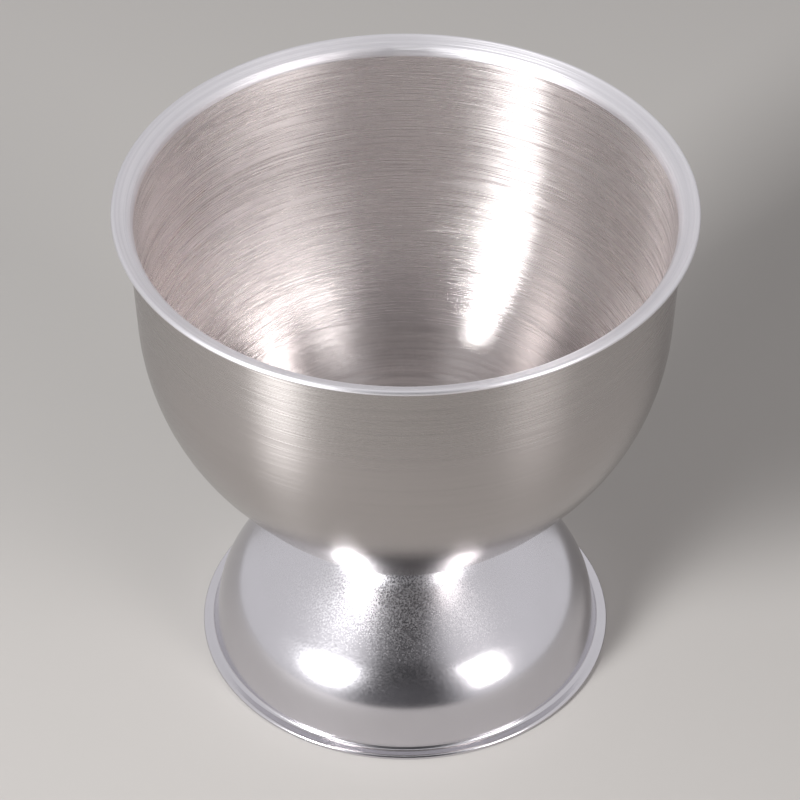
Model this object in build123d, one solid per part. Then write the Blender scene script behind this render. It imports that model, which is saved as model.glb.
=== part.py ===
from build123d import *
import os
from dataclasses import dataclass
from math import cos, radians, sin

# Sheet steel egg cup: a drawn bowl stands on a pressed foot, and one resistance weld holds them together.
# Millimetres. +Z is up, and the origin is on the cup's axis at the surface that it stands on.
# Lengths and radii of the bowl and the foot are those of the face that shows from outside.

# Bowl
bowl_sheet = 0.5
rim_diameter = 50.0
lip_width = 1.0
lip_rise = 25.0          # degrees above level
lip_bend = 0.5
wall_length = 10.2
wall_draft = 2.25        # degrees from upright
belly_radius = 24.0
belly_start = 57.0       # degrees above level, where the lower belly runs into the belly
lower_start = 40.0       # degrees above level, where the bottom bend runs into the lower belly
bottom_bend = 8.0
bottom_diameter = 11.3

# Foot
foot_sheet = 0.5
neck_diameter = 16.24
neck_slope = 57.0        # degrees below level, at its steepest
neck_fillet = 6.0
top_bend = 0.8
cone_slope = 38.0        # degrees below level
shoulder_radius = 8.0
skirt_length = 2.55
skirt_draft = 13.0       # degrees from upright
base_diameter = 37.8
flange_width = 0.4
flange_bend = 0.4

# Weld
weld_diameter = 5.0
weld_depth = 0.2         # into each of the two sheets

UPRIGHT = 90.0


@dataclass
class Straight:
    """A straight run of the sheet."""
    length: float


@dataclass
class Bend:
    """A round run of the sheet: it turns left by a positive angle, in degrees."""
    radius: float
    angle: float


def travel(runs, heading=0.0):
    """How far the runs go outwards and upwards, when they set out at a heading above level."""
    out, up = 0.0, 0.0
    for run in runs:
        before = radians(heading)
        if isinstance(run, Straight):
            out += run.length * cos(before)
            up += run.length * sin(before)
        else:
            heading += run.angle
            after = radians(heading)
            radius = run.radius if run.angle > 0 else -run.radius
            out += radius * (sin(after) - sin(before))
            up += radius * (cos(before) - cos(after))
    return out, up


def sheet_face(height, runs, shift):
    """The edges of one face of the sheet, from the axis outwards, moved to the left by shift."""
    point = Vector(0, height + shift)
    tangent = Vector(1, 0)
    edges = []
    for run in runs:
        if isinstance(run, Straight):
            edge = Line(point, point + tangent * run.length)
        else:
            radius = run.radius - shift if run.angle > 0 else run.radius + shift
            edge = JernArc(point, tangent, radius, run.angle)
        edges.append(edge)
        point, tangent = edge @ 1, edge % 1
    return edges


def spun_sheet(height, runs, shift):
    """A round pressing: its outer face follows the runs, its inner face lies shift to their left."""
    outer = sheet_face(height, runs, 0.0)
    inner = sheet_face(height, runs, shift)
    on_axis = Line(outer[0] @ 0, inner[0] @ 0)
    outer_end, inner_end = outer[-1] @ 1, inner[-1] @ 1
    tip = (outer_end + inner_end) / 2 + (outer[-1] % 1) * (abs(shift) / 2)
    rounded_edge = ThreePointArc(outer_end, tip, inner_end)
    section = make_face(outer + inner + [on_axis, rounded_edge])
    return revolve(Plane.XZ * section, Axis.Z)


def foot_runs():
    """The foot from the middle of its top down to its flange; the cone takes up what the base leaves."""
    skirt_slope = UPRIGHT - skirt_draft
    top_flat = neck_diameter / 2 - top_bend * sin(radians(neck_slope))
    above = [
        Straight(top_flat),
        Bend(top_bend, -neck_slope),
        Bend(neck_fillet, neck_slope - cone_slope),
    ]
    below = [
        Bend(shoulder_radius, cone_slope - skirt_slope),
        Straight(skirt_length),
        Bend(flange_bend, skirt_slope),
        Straight(flange_width),
    ]
    flange_end = base_diameter / 2 - foot_sheet / 2
    cone_reach = flange_end - travel(above)[0] - travel(below, -cone_slope)[0]
    return above + [Straight(cone_reach / cos(radians(cone_slope)))] + below


def bowl_runs():
    """The bowl from the middle of its bottom up to its lip; the lower belly takes up what the rim leaves."""
    wall_slope = UPRIGHT - wall_draft
    below = [
        Straight(bottom_diameter / 2),
        Bend(bottom_bend, lower_start),
    ]
    above = [
        Bend(belly_radius, wall_slope - belly_start),
        Straight(wall_length),
        Bend(lip_bend, lip_rise - wall_slope),
        Straight(lip_width),
    ]
    lip_end = rim_diameter / 2 - bowl_sheet / 2 * (1 - sin(radians(lip_rise)))
    lower_reach = lip_end - travel(below)[0] - travel(above, belly_start)[0]
    lower_radius = lower_reach / (sin(radians(belly_start)) - sin(radians(lower_start)))
    return below + [Bend(lower_radius, belly_start - lower_start)] + above


# The bowl's bottom lies on the foot's top, and the weld is let into both sheets there.
foot_height = foot_sheet - travel(foot_runs())[1]
weld_nugget = Pos(0, 0, foot_height) * Cylinder(weld_diameter / 2, 2 * weld_depth)
foot = spun_sheet(foot_height, foot_runs(), -foot_sheet) - weld_nugget
bowl = spun_sheet(foot_height, bowl_runs(), bowl_sheet) - weld_nugget

os.makedirs("parts", exist_ok=True)
for name, solid in {"bowl": bowl, "foot": foot, "weld_nugget": weld_nugget}.items():
    export_step(solid, f"parts/{name}.step")
    box = solid.bounding_box()
    print(f"{name}: {solid.volume:.2f} mm3, {box.size.X:.2f} mm wide, Z {box.min.Z:.2f} to {box.max.Z:.2f}")
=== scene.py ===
"""Looks of a sheet steel egg cup: a brushed bowl and a polished foot with a weld between them."""

import logging
from collections.abc import Callable
from dataclasses import dataclass
from enum import Enum
from math import ceil, cos, pi, radians, sin
from typing import ClassVar

import bmesh
import bpy
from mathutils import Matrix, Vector


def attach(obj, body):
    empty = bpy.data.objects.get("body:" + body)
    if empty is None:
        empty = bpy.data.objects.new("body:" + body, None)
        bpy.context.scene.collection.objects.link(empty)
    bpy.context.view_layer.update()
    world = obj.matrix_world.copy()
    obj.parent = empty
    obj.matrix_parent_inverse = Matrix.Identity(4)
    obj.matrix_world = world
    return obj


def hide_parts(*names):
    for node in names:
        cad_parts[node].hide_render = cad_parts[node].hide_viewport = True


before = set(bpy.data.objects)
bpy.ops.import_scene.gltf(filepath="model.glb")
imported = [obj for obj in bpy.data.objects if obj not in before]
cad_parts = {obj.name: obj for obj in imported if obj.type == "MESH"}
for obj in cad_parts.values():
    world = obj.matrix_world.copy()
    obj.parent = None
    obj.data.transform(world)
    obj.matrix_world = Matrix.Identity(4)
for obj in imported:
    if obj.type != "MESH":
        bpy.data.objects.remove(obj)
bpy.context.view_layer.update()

log = logging.getLogger("egg_cup")

MM = 0.001
UPRIGHT = 90.0  # degrees
HALF_TURN = 180.0  # degrees


def linear(colour: str) -> tuple[float, float, float, float]:
    """Turns an sRGB hex colour to linear light.

    Args:
        colour: Six hex digits after a hash sign.

    Returns:
        Red, green, blue and full alpha, each from 0 to 1.
    """
    shares = [int(colour[place:place + 2], 16) / 255 for place in (1, 3, 5)]
    red, green, blue = [s / 12.92 if s <= 0.04045 else ((s + 0.055) / 1.055) ** 2.4 for s in shares]
    return red, green, blue, 1.0


def add_node(
    tree: bpy.types.NodeTree,
    kind: str,
    inputs: dict[str | int, object] | None = None,
    **settings: object,
) -> bpy.types.Node:
    """Adds a node with its settings and links.

    Args:
        tree: The node tree that it goes into.
        kind: Blender's name for the kind of node.
        inputs: What each input gets, by name or place: a value, or the output that it is linked to.
        settings: The node's own properties, such as its operation.

    Returns:
        The new node.
    """
    node = tree.nodes.new(kind)
    for name, value in settings.items():
        setattr(node, name, value)
    for key, value in (inputs or {}).items():
        if isinstance(value, bpy.types.NodeSocket):
            tree.links.new(value, node.inputs[key])
        else:
            node.inputs[key].default_value = value
    return node


def new_material(name: str) -> tuple[bpy.types.Material, bpy.types.NodeTree]:
    """Makes an empty material.

    Args:
        name: The finish that it is named for.

    Returns:
        The material and its node tree.
    """
    material = bpy.data.materials.new(name)
    material.use_nodes = True
    material.node_tree.nodes.clear()
    return material, material.node_tree


class RoundPlace:
    """Where a point lies on a round piece."""

    def __init__(self, tree: bpy.types.NodeTree) -> None:
        """Works the place out from the Object coordinates.

        Args:
            tree: The material's node tree.
        """
        self.tree = tree
        self.place = add_node(tree, "ShaderNodeTexCoord").outputs["Object"]
        flat = add_node(tree, "ShaderNodeVectorMath", {0: self.place, 1: (1, 1, 0)}, operation="MULTIPLY")
        self.outwards = flat.outputs[0]
        length = add_node(tree, "ShaderNodeVectorMath", {0: self.outwards}, operation="LENGTH")
        self.radius = length.outputs["Value"]


class TurnedLines(RoundPlace):
    """Lines that a tool left round a piece whose radius grows with its height."""

    FINER_SHARE: ClassVar[float] = 0.6  # strength of each octave of finer lines, next to the one before

    def __init__(self, tree: bpy.types.NodeTree) -> None:
        """Works out the way round the axis and the way from line to line.

        Args:
            tree: The material's node tree.
        """
        super().__init__(tree)
        self.height = add_node(tree, "ShaderNodeSeparateXYZ", {0: self.place}).outputs["Z"]
        way = add_node(tree, "ShaderNodeVectorMath", {0: self.outwards}, operation="NORMALIZE")
        self.way = way.outputs[0]
        along = add_node(tree, "ShaderNodeMath", {0: self.height, 1: self.radius}, operation="ADD")
        self.along = along.outputs[0]

    def noise(self, spacing: float, arc: float, detail: float = 3.0) -> bpy.types.NodeSocket:
        """Draws noise that is drawn out round the axis, with no seam.

        Args:
            spacing: Distance from one line to the next along the section, in millimetres.
            arc: How far a line runs round the axis before it changes, in degrees.
            detail: Octaves of finer lines within each line.

        Returns:
            The noise, from 0 to 1 round a middle of 0.5.
        """
        turned = add_node(
            self.tree, "ShaderNodeVectorMath", {0: self.way, "Scale": 1 / radians(arc)}, operation="SCALE"
        )
        line = add_node(
            self.tree, "ShaderNodeMath", {0: self.along, 1: 1 / (spacing * MM)}, operation="MULTIPLY"
        )
        lifted = add_node(self.tree, "ShaderNodeCombineXYZ", {"Z": line.outputs[0]})
        spot = add_node(
            self.tree, "ShaderNodeVectorMath", {0: turned.outputs[0], 1: lifted.outputs[0]}, operation="ADD"
        )
        noise = add_node(
            self.tree,
            "ShaderNodeTexNoise",
            {"Vector": spot.outputs[0], "Scale": 1.0, "Detail": detail, "Roughness": self.FINER_SHARE},
        )
        return noise.outputs[0]


@dataclass(frozen=True)
class BrushedSteel:
    """Stainless steel brushed round the axis while it turned.

    Fine lines run round the piece, so a lamp is drawn out into a bright band across them, from rim to
    bottom. A few lines aren't quite level, catch the light a little to one side, and fray the band's edges.
    The brush pressed hardest near the rim, and further down the steel is smoother and mirrors more. Between
    the lines, the surface has a faint bloom. At the bottom, use has worn it to a paler bloom, in rings.
    """

    STRAY_SPACING: ClassVar[float] = 1.3  # line spacings from one leaning line to the next
    BROAD_SPACING: ClassVar[float] = 3.0  # line spacings from tone to tone
    BROAD_ARC: ClassVar[float] = 2.0  # line arcs
    RING_SPACING: ClassVar[float] = 8.0  # line spacings from one worn ring to the next
    RING_ARC: ClassVar[float] = 3.0  # line arcs
    RING_DETAIL: ClassVar[float] = 2.0
    COARSE_NOISE: ClassVar[tuple[float, float]] = (0.45, 0.75)  # noise of the least and the most coarse line
    STRAY_NOISE: ClassVar[tuple[float, float]] = (0.25, 0.75)  # of those that lean most, either way
    RING_NOISE: ClassVar[tuple[float, float]] = (0.3, 0.7)  # of the least and the most worn ring
    LIGHT_PRESS: ClassVar[float] = 0.25  # depth of the lines where the brush pressed least, as a share
    RARITY: ClassVar[float] = 3.0  # the power that leaves few lines leaning far
    SPREAD_TURN: ClassVar[float] = 0.25  # turns, from along the lines to across them

    name: str
    tint: str
    shade: str
    roughness: float  # where it is fully brushed
    smooth_roughness: float  # where it is smoothest
    coarseness: float  # how much rougher the coarsest lines are
    anisotropy: float
    line_spacing: float  # millimetres; real lines are nearer 0.03, too fine to show
    line_arc: float  # degrees
    line_depth: float  # millimetres
    lean: float  # how far the worst line leans sideways, as a slope
    smooth_below: float = -1.0  # height in millimetres
    brushed_above: float = 0.0  # height in millimetres
    metallic: float = 1.0  # less where the surface has a bloom
    worn_metallic: float = 1.0  # at the bottom
    worn_rings: float = 0.0  # how much the wear differs from ring to ring
    worn_below: float = -1.0  # height in millimetres
    bright_above: float = 0.0  # height in millimetres

    def material(self) -> bpy.types.Material:
        """Makes the finish as a Blender material."""
        material, tree = new_material(self.name)
        lines = TurnedLines(tree)
        fine = lines.noise(self.line_spacing, self.line_arc)
        brushed = add_node(
            tree,
            "ShaderNodeMapRange",
            {
                "Value": lines.height,
                "From Min": self.smooth_below * MM,
                "From Max": self.brushed_above * MM,
            },
            interpolation_type="SMOOTHSTEP",
        )
        around = add_node(tree, "ShaderNodeTangent", direction_type="RADIAL", axis="Z")
        steel = add_node(
            tree,
            "ShaderNodeBsdfPrincipled",
            {
                "Base Color": self.tone(lines),
                "Metallic": self.bloom(lines),
                "Roughness": self.spread(tree, fine, brushed.outputs[0]),
                "Anisotropic": self.anisotropy,
                "Anisotropic Rotation": self.SPREAD_TURN,
                "Tangent": around.outputs[0],
                "Normal": self.frayed(lines, fine, brushed.outputs[0], around.outputs[0]),
            },
        )
        add_node(tree, "ShaderNodeOutputMaterial", {"Surface": steel.outputs[0]})
        return material

    def tone(self, lines: TurnedLines) -> bpy.types.NodeSocket:
        """Gives the colour, which differs a little from one broad line to the next.

        Args:
            lines: The piece's turned lines.

        Returns:
            The colour.
        """
        broad = lines.noise(self.line_spacing * self.BROAD_SPACING, self.line_arc * self.BROAD_ARC)
        tone = add_node(
            lines.tree,
            "ShaderNodeMix",
            {0: broad, 6: linear(self.shade), 7: linear(self.tint)},
            data_type="RGBA",
        )
        return tone.outputs[2]

    def bloom(self, lines: TurnedLines) -> bpy.types.NodeSocket:
        """Gives the share of bare metal, which is least in the rings at the worn bottom.

        Args:
            lines: The piece's turned lines.

        Returns:
            The share.
        """
        rings = lines.noise(
            self.line_spacing * self.RING_SPACING, self.line_arc * self.RING_ARC, self.RING_DETAIL
        )
        worn = add_node(
            lines.tree,
            "ShaderNodeMapRange",
            {
                "Value": rings,
                "From Min": self.RING_NOISE[0],
                "From Max": self.RING_NOISE[1],
                "To Min": self.worn_metallic + self.worn_rings,
                "To Max": self.worn_metallic - self.worn_rings,
            },
        )
        bare = add_node(
            lines.tree,
            "ShaderNodeMapRange",
            {
                "Value": lines.height,
                "From Min": self.worn_below * MM,
                "From Max": self.bright_above * MM,
                "To Min": worn.outputs[0],
                "To Max": self.metallic,
            },
            interpolation_type="SMOOTHSTEP",
        )
        return bare.outputs[0]

    def spread(
        self, tree: bpy.types.NodeTree, fine: bpy.types.NodeSocket, brushed: bpy.types.NodeSocket
    ) -> bpy.types.NodeSocket:
        """Gives the roughness, which grows with the brushing and differs from line to line.

        Args:
            tree: The material's node tree.
            fine: The noise of the fine lines.
            brushed: How hard the brush pressed, from 0 to 1.

        Returns:
            The roughness.
        """
        even = add_node(
            tree,
            "ShaderNodeMapRange",
            {"Value": brushed, "To Min": self.smooth_roughness, "To Max": self.roughness},
        )
        coarse = add_node(
            tree,
            "ShaderNodeMapRange",
            {"Value": fine, "From Min": self.COARSE_NOISE[0], "From Max": self.COARSE_NOISE[1]},
        )
        rough = add_node(
            tree,
            "ShaderNodeMath",
            {0: coarse.outputs[0], 1: self.coarseness, 2: even.outputs[0]},
            operation="MULTIPLY_ADD",
        )
        return rough.outputs[0]

    def frayed(
        self,
        lines: TurnedLines,
        fine: bpy.types.NodeSocket,
        brushed: bpy.types.NodeSocket,
        around: bpy.types.NodeSocket,
    ) -> bpy.types.NodeSocket:
        """Gives the normal: the fine lines stand up, and a few of them lean to one side.

        Args:
            lines: The piece's turned lines.
            fine: The noise of the fine lines.
            brushed: How hard the brush pressed, from 0 to 1.
            around: The direction round the axis.

        Returns:
            The normal.
        """
        tree = lines.tree
        pressed = add_node(
            tree, "ShaderNodeMapRange", {"Value": brushed, "To Min": self.LIGHT_PRESS, "To Max": 1.0}
        )
        brushing = add_node(
            tree,
            "ShaderNodeBump",
            {"Strength": pressed.outputs[0], "Distance": self.line_depth * MM, "Height": fine},
        )
        swing = add_node(
            tree,
            "ShaderNodeMapRange",
            {
                "Value": lines.noise(self.line_spacing * self.STRAY_SPACING, self.line_arc),
                "From Min": self.STRAY_NOISE[0],
                "From Max": self.STRAY_NOISE[1],
                "To Min": -1.0,
                "To Max": 1.0,
            },
        )
        few = add_node(tree, "ShaderNodeMath", {0: swing.outputs[0], 1: self.RARITY}, operation="POWER")
        most = add_node(tree, "ShaderNodeMath", {0: pressed.outputs[0], 1: self.lean}, operation="MULTIPLY")
        slope = add_node(
            tree, "ShaderNodeMath", {0: few.outputs[0], 1: most.outputs[0]}, operation="MULTIPLY"
        )
        sideways = add_node(
            tree, "ShaderNodeVectorMath", {0: around, "Scale": slope.outputs[0]}, operation="SCALE"
        )
        leaning = add_node(
            tree, "ShaderNodeVectorMath", {0: brushing.outputs[0], 1: sideways.outputs[0]}, operation="ADD"
        )
        normal = add_node(tree, "ShaderNodeVectorMath", {0: leaning.outputs[0]}, operation="NORMALIZE")
        return normal.outputs[0]


@dataclass(frozen=True)
class PolishedSteel:
    """Stainless steel pressed from bright sheet and polished.

    It mirrors the room with soft edges. Where the press stretched the sheet, its grain stands up as a fine
    haze, which is weaker further out.
    """

    SMEAR: ClassVar[float] = 6.0  # millimetres, the width of a smear that the polish left
    LEAD_IN: ClassVar[float] = 1.5  # millimetres over which the haze comes up
    FADE: ClassVar[float] = 6.0  # millimetres over which it fades
    FADED: ClassVar[float] = 0.4  # share of it that is left further out
    GRAIN_NOISE: ClassVar[tuple[float, float]] = (0.2, 0.8)  # the noise of the lowest and the highest grain

    name: str
    tint: str
    shade: str
    roughness: float
    haze: float  # how much rougher the stretched grain is
    grain: float  # millimetres
    grain_depth: float  # millimetres
    stretched_from: float  # millimetres from the axis
    stretched_to: float  # millimetres from the axis

    def material(self) -> bpy.types.Material:
        """Makes the finish as a Blender material."""
        material, tree = new_material(self.name)
        where = RoundPlace(tree)
        raised = self.raised_grain(where)
        smear = add_node(
            tree,
            "ShaderNodeTexNoise",
            {"Vector": where.place, "Scale": 1 / (self.SMEAR * MM), "Detail": 3.0, "Roughness": 0.55},
        )
        tone = add_node(
            tree,
            "ShaderNodeMix",
            {0: smear.outputs[0], 6: linear(self.shade), 7: linear(self.tint)},
            data_type="RGBA",
        )
        rough = add_node(
            tree, "ShaderNodeMath", {0: raised, 1: self.haze, 2: self.roughness}, operation="MULTIPLY_ADD"
        )
        grained = add_node(
            tree, "ShaderNodeBump", {"Strength": 1.0, "Distance": self.grain_depth * MM, "Height": raised}
        )
        steel = add_node(
            tree,
            "ShaderNodeBsdfPrincipled",
            {
                "Base Color": tone.outputs[2],
                "Metallic": 1.0,
                "Roughness": rough.outputs[0],
                "Normal": grained.outputs[0],
            },
        )
        add_node(tree, "ShaderNodeOutputMaterial", {"Surface": steel.outputs[0]})
        return material

    def raised_grain(self, where: RoundPlace) -> bpy.types.NodeSocket:
        """Gives the grain's height, which is full between the two radii where the sheet is stretched most.

        Args:
            where: The place on the piece.

        Returns:
            The height, from 0 to 1.
        """
        tree = where.tree
        grain = add_node(
            tree,
            "ShaderNodeTexNoise",
            {"Vector": where.place, "Scale": 1 / (self.grain * MM), "Detail": 2.0, "Roughness": 0.6},
        )
        starts = add_node(
            tree,
            "ShaderNodeMapRange",
            {
                "Value": where.radius,
                "From Min": (self.stretched_from - self.LEAD_IN) * MM,
                "From Max": self.stretched_from * MM,
            },
            interpolation_type="SMOOTHSTEP",
        )
        ends = add_node(
            tree,
            "ShaderNodeMapRange",
            {
                "Value": where.radius,
                "From Min": self.stretched_to * MM,
                "From Max": (self.stretched_to + self.FADE) * MM,
                "To Min": 1.0,
                "To Max": self.FADED,
            },
            interpolation_type="SMOOTHSTEP",
        )
        stretched = add_node(
            tree, "ShaderNodeMath", {0: starts.outputs[0], 1: ends.outputs[0]}, operation="MULTIPLY"
        )
        specks = add_node(
            tree,
            "ShaderNodeMapRange",
            {"Value": grain.outputs[0], "From Min": self.GRAIN_NOISE[0], "From Max": self.GRAIN_NOISE[1]},
        )
        raised = add_node(
            tree, "ShaderNodeMath", {0: specks.outputs[0], 1: stretched.outputs[0]}, operation="MULTIPLY"
        )
        return raised.outputs[0]


# The bowl's outside: fine even lines and soft-edged bands, nearly a mirror below the belly. Its tint is
# painted shade: darker than the inside's, though it is the same steel, to stand in for dark surroundings
# that it mirrors.
SATIN_PAINTED_DARKER = BrushedSteel(
    name="Satin stainless steel, painted darker",
    # painted shade: this tint and the shade below are darker than the inside's, for the dark surroundings
    # that the steel mirrors
    tint="#B8B3B1",
    shade="#B0ABA9",
    roughness=0.27,
    smooth_roughness=0.13,
    coarseness=0.05,
    anisotropy=1.0,
    line_spacing=0.1,
    line_arc=40.0,
    line_depth=0.02,
    lean=0.08,
    smooth_below=24.0,
    brushed_above=46.0,
)
# The bowl's inside: plain lines and bright frayed bands that end in a smooth, worn bottom.
BRUSHED = BrushedSteel(
    name="Brushed stainless steel",
    tint="#DED8D7",
    shade="#D4CECD",
    roughness=0.24,
    smooth_roughness=0.08,
    coarseness=0.22,
    anisotropy=1.0,
    line_spacing=0.09,
    line_arc=30.0,
    line_depth=0.03,
    lean=0.15,
    smooth_below=18.0,
    brushed_above=31.0,
    metallic=0.91,
    worn_metallic=0.2,
    worn_rings=0.2,
    worn_below=17.5,
    bright_above=25.0,
)
# The lip: broad tool lines and a pale, even sheen.
TURNED = BrushedSteel(
    name="Turned stainless steel",
    tint="#ECEAED",
    shade="#C2C0C5",
    roughness=0.4,
    smooth_roughness=0.4,
    coarseness=0.15,
    anisotropy=0.6,
    line_spacing=0.16,
    line_arc=60.0,
    line_depth=0.06,
    lean=0.05,
    metallic=0.92,
    worn_metallic=0.92,
)
# The foot: bright, with clear lamps in its shoulder and a speckled haze below its neck.
POLISHED = PolishedSteel(
    name="Polished stainless steel",
    tint="#CFCDD2",
    shade="#C5C3C7",
    roughness=0.14,
    haze=0.26,
    grain=0.15,
    grain_depth=0.002,
    stretched_from=8.0,
    stretched_to=10.5,
)
# The weld: dull and darkened by the heat, with a coarse grain.
FUSED = PolishedSteel(
    name="Fused stainless steel",
    tint="#A39C93",
    shade="#6F675F",
    roughness=0.45,
    haze=0.2,
    grain=0.35,
    grain_depth=0.02,
    stretched_from=0.0,
    stretched_to=5.0,
)


@dataclass(frozen=True)
class Straight:
    """A straight run of the sheet."""

    length: float  # millimetres


@dataclass(frozen=True)
class Bend:
    """A round run of the sheet, or a sharp corner where it has no radius."""

    radius: float  # millimetres
    angle: float  # degrees, positive to the left


Run = Straight | Bend


def travel(runs: list[Run], heading: float = 0.0) -> tuple[float, float]:
    """Works out how far a chain of runs goes.

    Args:
        runs: The runs, in order.
        heading: The direction they set out in, in degrees above level.

    Returns:
        The way outwards and the way upwards, in millimetres.
    """
    out, up = 0.0, 0.0
    for run in runs:
        before = radians(heading)
        if isinstance(run, Straight):
            out += run.length * cos(before)
            up += run.length * sin(before)
        else:
            heading += run.angle
            after = radians(heading)
            radius = run.radius if run.angle > 0 else -run.radius
            out += radius * (sin(after) - sin(before))
            up += radius * (cos(before) - cos(after))
    return out, up


def closed_section(pocket: list[Run], runs: list[Run], shift: float) -> list[Run]:
    """Chains both faces of a sheet into one section, with a rounded edge between them.

    Args:
        pocket: The weld's pocket, which the outer face starts with.
        runs: The outer face after that, from the axis to the edge.
        shift: The sheet's thickness, positive where the inner face lies to the left.

    Returns:
        The outer face, the edge and the inner face back to the axis.
    """
    turn = HALF_TURN if shift > 0 else -HALF_TURN
    inner = []
    for run in reversed(runs):
        if isinstance(run, Straight):
            inner.append(run)
        else:
            inner.append(Bend(run.radius - shift if run.angle > 0 else run.radius + shift, -run.angle))
    flat = sum(run.length for run in (pocket[0], runs[0]))
    return pocket + runs + [Bend(abs(shift) / 2, turn)] + inner[:-1] + [Straight(flat)]


class SectionPen:
    """Draws a section in the XZ plane by moving one vertex, and spins it into a round piece."""

    LONGEST: ClassVar[float] = 0.8  # millimetres of a straight run per edge
    WIDEST: ClassVar[float] = 3.5  # degrees of a bend per edge
    FEWEST: ClassVar[int] = 4  # edges in a bend
    TURNS: ClassVar[int] = 384  # facets round the axis
    MERGED: ClassVar[float] = 0.001  # millimetres between doubles, at most
    CREASE: ClassVar[float] = 35.0  # degrees past which an edge stays sharp

    def __init__(self, name: str, height: float) -> None:
        """Sets a single vertex down on the axis.

        Args:
            name: The name of the piece to draw.
            height: The vertex's height, in millimetres.
        """
        bpy.ops.object.select_all(action="DESELECT")
        bpy.ops.mesh.primitive_plane_add(size=MM)
        self.piece: bpy.types.Object = bpy.context.object
        self.piece.name = name
        self.piece.data.name = name
        self.place = Vector((0.0, 0.0, height * MM))
        self.heading = 0.0
        bpy.ops.object.mode_set(mode="EDIT")
        bpy.ops.mesh.merge(type="CENTER")
        bpy.ops.transform.translate(value=self.place)

    def straight(self, run: Straight) -> None:
        """Extrudes the vertex along a straight run.

        Args:
            run: The run to draw.
        """
        count = max(1, ceil(run.length / self.LONGEST))
        angle = radians(self.heading)
        step = Vector((cos(angle), 0.0, sin(angle))) * (run.length * MM / count)
        for _ in range(count):
            bpy.ops.mesh.extrude_vertices_move(TRANSFORM_OT_translate={"value": step})
        self.place = self.place + step * count

    def bend(self, run: Bend) -> None:
        """Spins the vertex round a bend's centre, or only turns the heading at a sharp corner.

        Args:
            run: The run to draw.
        """
        side = 1.0 if run.angle > 0 else -1.0
        before, after = radians(self.heading), radians(self.heading + run.angle)
        centre = self.place + Vector((-sin(before), 0.0, cos(before))) * (side * run.radius * MM)
        if run.radius > 0:
            bpy.ops.mesh.spin(
                steps=max(self.FEWEST, ceil(abs(run.angle) / self.WIDEST)),
                angle=abs(after - before),
                center=centre,
                axis=(0.0, side, 0.0),
            )
        self.place = centre + Vector((sin(after), 0.0, -cos(after))) * (side * run.radius * MM)
        self.heading += run.angle

    def spin_round(self, runs: list[Run]) -> bpy.types.Object:
        """Draws the whole section and spins it about the axis.

        Args:
            runs: The closed section, from the axis and back to it.

        Returns:
            The round piece, with its doubles merged and its faces turned outwards.
        """
        for run in runs:
            if isinstance(run, Straight):
                self.straight(run)
            else:
                self.bend(run)
        bpy.ops.mesh.select_all(action="SELECT")
        bpy.ops.mesh.spin(steps=self.TURNS, angle=2 * pi, center=(0.0, 0.0, 0.0), axis=(0.0, 0.0, 1.0))
        bpy.ops.mesh.select_all(action="SELECT")
        bpy.ops.mesh.remove_doubles(threshold=self.MERGED * MM)
        bpy.ops.mesh.normals_make_consistent(inside=False)
        bpy.ops.object.mode_set(mode="OBJECT")
        bpy.ops.object.shade_smooth_by_angle(angle=radians(self.CREASE))
        return self.piece


def dress_faces(
    piece: bpy.types.Object,
    material: bpy.types.Material,
    wanted: Callable[[Vector, Vector], bool],
) -> None:
    """Gives a finish to the faces of a piece that a test picks.

    Args:
        piece: The piece to dress.
        material: The finish, which gets a slot of its own.
        wanted: Says of a face, by its centre and its normal, whether it takes the finish.
    """
    bpy.ops.object.select_all(action="DESELECT")
    bpy.context.view_layer.objects.active = piece
    piece.select_set(True)
    piece.data.materials.append(material)
    bpy.ops.object.mode_set(mode="EDIT")
    bpy.ops.mesh.select_all(action="DESELECT")
    mesh = bmesh.from_edit_mesh(piece.data)
    for face in mesh.faces:
        face.select_set(wanted(face.calc_center_median(), face.normal))
    bmesh.update_edit_mesh(piece.data)
    piece.active_material_index = len(piece.data.materials) - 1
    bpy.ops.object.material_slot_assign()
    bpy.ops.object.mode_set(mode="OBJECT")


class PocketWall(Enum):
    """Which way a pocket's wall goes from the weld to the face of the sheet, in degrees above level."""

    UP = UPRIGHT
    DOWN = -UPRIGHT


@dataclass
class Weld:
    """The resistance weld between the two sheets, hidden in a pocket in each. Sizes in millimetres."""

    diameter: float = 5.0
    depth: float = 0.2  # into each sheet

    def pocket(self, wall: PocketWall) -> list[Run]:
        """Gives the pocket in one sheet.

        Args:
            wall: Which way the pocket's wall goes.

        Returns:
            The runs from the axis to the sheet's face.
        """
        corner, back = Bend(0.0, wall.value), Bend(0.0, -wall.value)
        return [Straight(self.diameter / 2), corner, Straight(self.depth), back]

    def dress(self) -> bpy.types.Object:
        """Gives the weld its finish. Its solid is already right, so it stays."""
        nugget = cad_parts["weld_nugget"]
        nugget.data.materials.clear()
        nugget.data.materials.append(FUSED.material())
        return nugget


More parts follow.
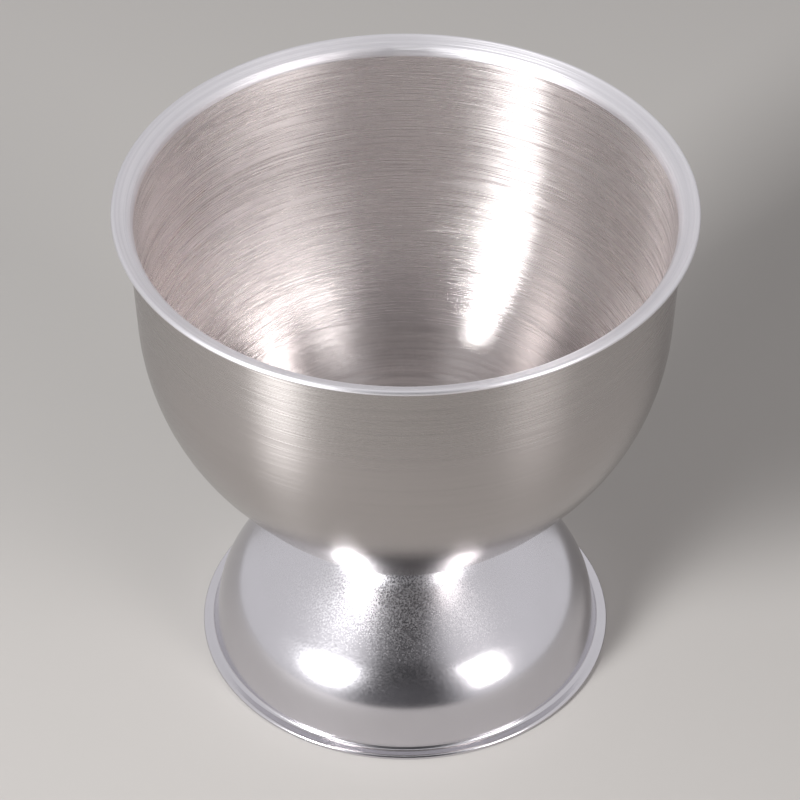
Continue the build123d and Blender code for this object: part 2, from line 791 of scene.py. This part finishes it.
@dataclass
class Foot:
    """The pressed foot: a flat top, a flared cone, a domed shoulder, a skirt and a flange.

    Lengths are in millimetres, and are those of the face that shows from outside.
    """

    weld: Weld
    sheet: float = 0.5
    neck_diameter: float = 16.24
    neck_slope: float = 57.0  # degrees below level, at its steepest
    neck_fillet: float = 6.0
    top_bend: float = 0.8
    cone_slope: float = 38.0  # degrees below level
    shoulder_radius: float = 8.0
    skirt_length: float = 2.55
    skirt_draft: float = 13.0  # degrees from upright
    base_diameter: float = 37.8
    flange_width: float = 0.4
    flange_bend: float = 0.4

    def runs(self) -> list[Run]:
        """Gives the outer face, from the middle of the top to the flange.

        Returns:
            The runs, of which the cone takes up what the base leaves.
        """
        skirt_slope = UPRIGHT - self.skirt_draft
        above = [
            Straight(self.neck_diameter / 2 - self.top_bend * sin(radians(self.neck_slope))),
            Bend(self.top_bend, -self.neck_slope),
            Bend(self.neck_fillet, self.neck_slope - self.cone_slope),
        ]
        below = [
            Bend(self.shoulder_radius, self.cone_slope - skirt_slope),
            Straight(self.skirt_length),
            Bend(self.flange_bend, skirt_slope),
            Straight(self.flange_width),
        ]
        flange_end = (self.base_diameter - self.sheet) / 2
        reach = flange_end - travel(above)[0] - travel(below, -self.cone_slope)[0]
        return above + [Straight(reach / cos(radians(self.cone_slope)))] + below

    def height(self) -> float:
        """Gives the height of the foot's top."""
        return self.sheet - travel(self.runs())[1]

    def build(self) -> bpy.types.Object:
        """Spins the foot."""
        runs = self.runs()
        flat = Straight(runs[0].length - self.weld.diameter / 2)
        section = closed_section(self.weld.pocket(PocketWall.UP), [flat] + runs[1:], -self.sheet)
        return SectionPen("pressed_foot", self.height() - self.weld.depth).spin_round(section)

    def dress(self, piece: bpy.types.Object) -> None:
        """Gives the foot its finish."""
        piece.data.materials.append(POLISHED.material())


@dataclass
class Bowl:
    """The drawn bowl: a small flat bottom, a rounded belly, a steep wall and a sloping lip.

    Lengths are in millimetres, and are those of the face that shows from outside.
    """

    LIP_RUNS: ClassVar[int] = 2  # the last runs of the outer face: the lip's bend and the lip
    FACING: ClassVar[float] = 1e-9  # how far a normal points to the axis, times the radius, at the least
    LEVEL: ClassVar[float] = 0.9  # the normal's rise on the inside of the bottom, at the least
    UNDERSIDE: ClassVar[float] = -0.3  # the normal's rise below which the lip's face belongs to the outside

    weld: Weld
    base_height: float
    sheet: float = 0.5
    rim_diameter: float = 50.0
    lip_width: float = 1.0
    lip_rise: float = 25.0  # degrees above level
    lip_bend: float = 0.5
    wall_length: float = 10.2
    wall_draft: float = 2.25  # degrees from upright
    belly_radius: float = 24.0
    belly_start: float = 57.0  # degrees above level, where the lower belly runs into the belly
    lower_start: float = 40.0  # degrees above level, where the bottom bend runs into the lower belly
    bottom_bend: float = 8.0
    bottom_diameter: float = 11.3

    def runs(self) -> list[Run]:
        """Gives the outer face, from the middle of the bottom to the lip.

        Returns:
            The runs, of which the lower belly takes up what the rim leaves.
        """
        wall_slope = UPRIGHT - self.wall_draft
        below = [
            Straight(self.bottom_diameter / 2),
            Bend(self.bottom_bend, self.lower_start),
        ]
        above = [
            Bend(self.belly_radius, wall_slope - self.belly_start),
            Straight(self.wall_length),
            Bend(self.lip_bend, self.lip_rise - wall_slope),
            Straight(self.lip_width),
        ]
        lip_end = self.rim_diameter / 2 - self.sheet / 2 * (1 - sin(radians(self.lip_rise)))
        reach = lip_end - travel(below)[0] - travel(above, self.belly_start)[0]
        radius = reach / (sin(radians(self.belly_start)) - sin(radians(self.lower_start)))
        return below + [Bend(radius, self.belly_start - self.lower_start)] + above

    def wall_top(self) -> float:
        """Gives the height at which the lip starts to turn out."""
        return self.base_height + travel(self.runs()[:-self.LIP_RUNS])[1]

    def build(self) -> bpy.types.Object:
        """Spins the bowl."""
        runs = self.runs()
        flat = Straight(runs[0].length - self.weld.diameter / 2)
        section = closed_section(self.weld.pocket(PocketWall.DOWN), [flat] + runs[1:], self.sheet)
        return SectionPen("brushed_bowl", self.base_height + self.weld.depth).spin_round(section)

    def dress(self, piece: bpy.types.Object) -> None:
        """Gives the outside, the inside and the lip their finishes.

        Args:
            piece: The bowl.
        """
        lip_from = self.wall_top() * MM
        dress_faces(piece, SATIN_PAINTED_DARKER.material(), lambda centre, normal: True)
        dress_faces(
            piece,
            BRUSHED.material(),
            lambda centre, normal: centre.xy.dot(normal.xy) < -self.FACING or normal.z > self.LEVEL,
        )
        dress_faces(
            piece,
            TURNED.material(),
            lambda centre, normal: centre.z > lip_from and normal.z > self.UNDERSIDE,
        )


@dataclass
class Softbox:
    """A rectangular lamp with an even glow."""

    WATTS: ClassVar[float] = 4.0  # per square metre of lamp, for a glow of 1
    AIM_HEIGHT: ClassVar[float] = 25.0  # millimetres, the middle of the cup

    name: str
    azimuth: float  # degrees from the camera's side, positive to the right
    elevation: float  # degrees
    distance: float  # metres
    width: float  # metres
    height: float  # metres
    glow: float  # 1 is as bright as lit white paper
    colour: str

    def build(self) -> None:
        """Hangs the lamp, facing the cup."""
        side, rise = radians(self.azimuth), radians(self.elevation)
        way = Vector((sin(side) * cos(rise), -cos(side) * cos(rise), sin(rise)))
        aim = Vector((0.0, 0.0, self.AIM_HEIGHT * MM))
        bpy.ops.object.light_add(
            type="AREA",
            location=aim + way * self.distance,
            rotation=way.to_track_quat("Z", "Y").to_euler(),
        )
        lamp = bpy.context.object
        lamp.name = self.name
        lamp.data.shape = "RECTANGLE"
        lamp.data.size = self.width
        lamp.data.size_y = self.height
        lamp.data.energy = self.WATTS * self.glow * self.width * self.height
        lamp.data.color = linear(self.colour)[:3]


@dataclass
class Studio:
    """A pale floor in an even pale room, a dark card, two softboxes and the camera."""

    floor_colour: str = "#C4C1BE"
    floor_radius: float = 4.0  # metres
    fibre: float = 0.8  # millimetres
    tooth_depth: float = 0.03  # millimetres
    room_colour: str = "#F4F3F5"
    room_glow: float = 0.9  # as steel mirrors it
    room_light: float = 0.26  # as it falls on the floor
    card_colour: str = "#5C5C5F"
    card_core: float = 0.3  # share of its width that is fully dark
    card_place: float = -0.5  # metres along Y
    card_width: float = 0.9  # metres
    card_height: float = 1.1  # metres
    lens: float = 155.1  # millimetres
    sensor: float = 36.0  # millimetres
    nearest: float = 0.01  # metres from the camera
    camera_place: tuple[float, float, float] = (-0.23, -232.38, 226.68)  # millimetres
    camera_pitch: float = 40.741  # degrees below level
    camera_yaw: float = 0.0617  # degrees to the left

    def floor(self) -> None:
        """Lays the floor: matt pale paper, with a tooth that only shows close up."""
        bpy.ops.object.select_all(action="DESELECT")
        bpy.ops.mesh.primitive_circle_add(vertices=96, radius=self.floor_radius, fill_type="NGON")
        sheet = bpy.context.object
        sheet.name = "floor"
        material, tree = new_material("Matt pale paper")
        place = add_node(tree, "ShaderNodeTexCoord").outputs["Object"]
        fibre = add_node(
            tree, "ShaderNodeTexNoise", {"Vector": place, "Scale": 1 / (self.fibre * MM), "Detail": 3.0}
        )
        tooth = add_node(
            tree,
            "ShaderNodeBump",
            {"Strength": 0.2, "Distance": self.tooth_depth * MM, "Height": fibre.outputs[0]},
        )
        paper = add_node(
            tree,
            "ShaderNodeBsdfPrincipled",
            {"Base Color": linear(self.floor_colour), "Roughness": 0.85, "Normal": tooth.outputs[0]},
        )
        add_node(tree, "ShaderNodeOutputMaterial", {"Surface": paper.outputs[0]})
        sheet.data.materials.append(material)

    def card(self) -> None:
        """Stands a card up in front of the cup, for the steel to mirror. The camera doesn't see it."""
        bpy.ops.object.select_all(action="DESELECT")
        bpy.ops.mesh.primitive_plane_add(size=1.0)
        card = bpy.context.object
        card.name = "front_card"
        bpy.ops.object.mode_set(mode="EDIT")
        bpy.ops.transform.resize(value=(self.card_width, self.card_height, 1.0))
        bpy.ops.transform.rotate(value=radians(UPRIGHT), orient_axis="X", center_override=(0.0, 0.0, 0.0))
        bpy.ops.transform.translate(value=(0.0, self.card_place, self.card_height / 2))
        bpy.ops.object.mode_set(mode="OBJECT")
        card.data.materials.append(self.cloth())
        card.visible_camera = False

    def cloth(self) -> bpy.types.Material:
        """Makes the card's dark cloth, which thins out at its sides and leaves no hard edge in the steel."""
        material, tree = new_material("Dark cloth, thin at the sides")
        place = add_node(tree, "ShaderNodeTexCoord").outputs["Object"]
        across = add_node(tree, "ShaderNodeSeparateXYZ", {0: place}).outputs["X"]
        aside = add_node(tree, "ShaderNodeMath", {0: across}, operation="ABSOLUTE")
        thin = add_node(
            tree,
            "ShaderNodeMapRange",
            {
                "Value": aside.outputs[0],
                "From Min": self.card_width * self.card_core / 2,
                "From Max": self.card_width / 2,
            },
            interpolation_type="SMOOTHSTEP",
        )
        dark = add_node(tree, "ShaderNodeBsdfDiffuse", {"Color": linear(self.card_colour)})
        clear = add_node(tree, "ShaderNodeBsdfTransparent")
        cloth = add_node(
            tree, "ShaderNodeMixShader", {0: thin.outputs[0], 1: dark.outputs[0], 2: clear.outputs[0]}
        )
        add_node(tree, "ShaderNodeOutputMaterial", {"Surface": cloth.outputs[0]})
        return material

    def room(self) -> None:
        """Lights the room evenly."""
        world = bpy.data.worlds.new("Pale room")
        world.use_nodes = True
        tree = world.node_tree
        tree.nodes.clear()
        path = add_node(tree, "ShaderNodeLightPath")
        seen = add_node(
            tree,
            "ShaderNodeMath",
            {0: path.outputs["Is Camera Ray"], 1: path.outputs["Is Glossy Ray"]},
            operation="MAXIMUM",
        )
        strength = add_node(
            tree,
            "ShaderNodeMapRange",
            {"Value": seen.outputs[0], "To Min": self.room_light, "To Max": self.room_glow},
        )
        glow = add_node(
            tree,
            "ShaderNodeBackground",
            {"Color": linear(self.room_colour), "Strength": strength.outputs[0]},
        )
        add_node(tree, "ShaderNodeOutputWorld", {"Surface": glow.outputs[0]})
        bpy.context.scene.world = world

    def lamps(self) -> None:
        """Hangs a strong softbox on the left and a larger, weaker one on the right."""
        Softbox(
            name="left_softbox",
            azimuth=-47.5,
            elevation=26.5,
            distance=0.5,
            width=0.115,
            height=0.195,
            glow=36.0,
            colour="#FFFFFF",
        ).build()
        Softbox(
            name="right_softbox",
            azimuth=49.5,
            elevation=25.0,
            distance=0.5,
            width=0.155,
            height=0.27,
            glow=6.0,
            colour="#FFFBFA",
        ).build()

    def camera(self) -> None:
        """Sets the camera where the photograph was taken from."""
        bpy.ops.object.camera_add(
            location=Vector(self.camera_place) * MM,
            rotation=(radians(UPRIGHT - self.camera_pitch), 0.0, radians(self.camera_yaw)),
        )
        camera = bpy.context.object
        camera.data.sensor_width = self.sensor
        camera.data.lens = self.lens
        camera.data.clip_start = self.nearest
        bpy.context.scene.camera = camera

    def build(self) -> None:
        """Sets up the floor, the room, the card, the lamps and the camera."""
        self.floor()
        self.room()
        self.card()
        self.lamps()
        self.camera()
        bpy.context.scene.view_settings.view_transform = "Standard"


def show(piece: bpy.types.Object, node: str) -> None:
    """Puts a finished piece in the place of a CAD node.

    Args:
        piece: The finished piece.
        node: The CAD node that it stands for.
    """
    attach(piece, "root")
    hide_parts(node)
    log.info("%s stands for %s: %d faces", piece.name, node, len(piece.data.polygons))


def main() -> None:
    """Builds the pieces and the studio."""
    logging.basicConfig(level=logging.INFO, format="%(message)s")
    weld = Weld()
    log.info("%s is dressed", weld.dress().name)
    foot = Foot(weld)
    pressed = foot.build()
    foot.dress(pressed)
    show(pressed, "foot")
    bowl = Bowl(weld, foot.height())
    drawn = bowl.build()
    bowl.dress(drawn)
    show(drawn, "bowl")
    Studio().build()


if __name__ == "__main__":
    main()
